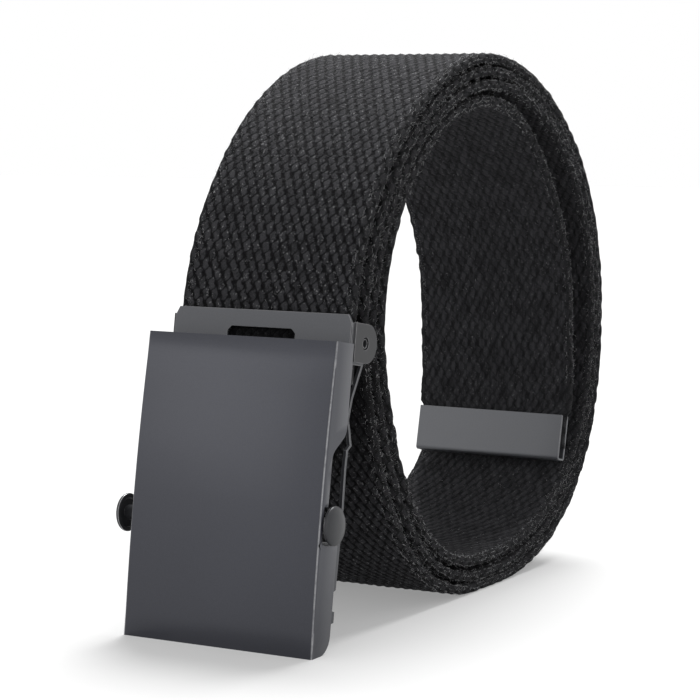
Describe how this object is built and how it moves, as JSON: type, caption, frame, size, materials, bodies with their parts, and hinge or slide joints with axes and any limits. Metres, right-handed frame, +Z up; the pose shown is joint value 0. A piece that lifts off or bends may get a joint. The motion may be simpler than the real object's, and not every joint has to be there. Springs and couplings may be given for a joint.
{
  "type": "canvas web belt with plate buckle",
  "caption": "Canvas web belt rolled into an upright coil, with a plain metal plate buckle, a sliding lock bar and a metal tip.",
  "frame": {"origin": "on the floor, below the middle of the whole belt's box", "axes": "+X across the webbing, +Y from the buckle to the back of the coil, +Z up"},
  "size_m": [0.049, 0.1396, 0.1147],
  "materials": {
    "webbing": "coarse woven cotton, matt, slightly fuzzy",
    "cover_metal": "satin dark paint, fine grain, bright folded edges",
    "frame_metal": "satin dark paint",
    "tip_metal": "satin dark paint",
    "small_metal": "semi-gloss dark paint"
  },
  "bodies": {
    "belt": {"webbing": "webbing", "belt_tip": "tip_metal", "cover": "cover_metal", "frame": "frame_metal", "hinge_pin": "small_metal"},
    "jaw": {"clamp_jaw": "small_metal"},
    "bar": {"lock_bar": "small_metal"}
  },
  "joints": [
    {"name": "jaw_turn", "type": "hinge", "parent": "belt", "child": "jaw", "pos_m": [0.00175, -0.04906, 0.05764], "axis": [1, 0, 0], "range_deg": [0, 18]},
    {"name": "bar_slide", "type": "slide", "parent": "belt", "child": "bar", "axis": [0, 0.1582, 0.9874], "range_m": [0, 0.01205]}
  ]
}
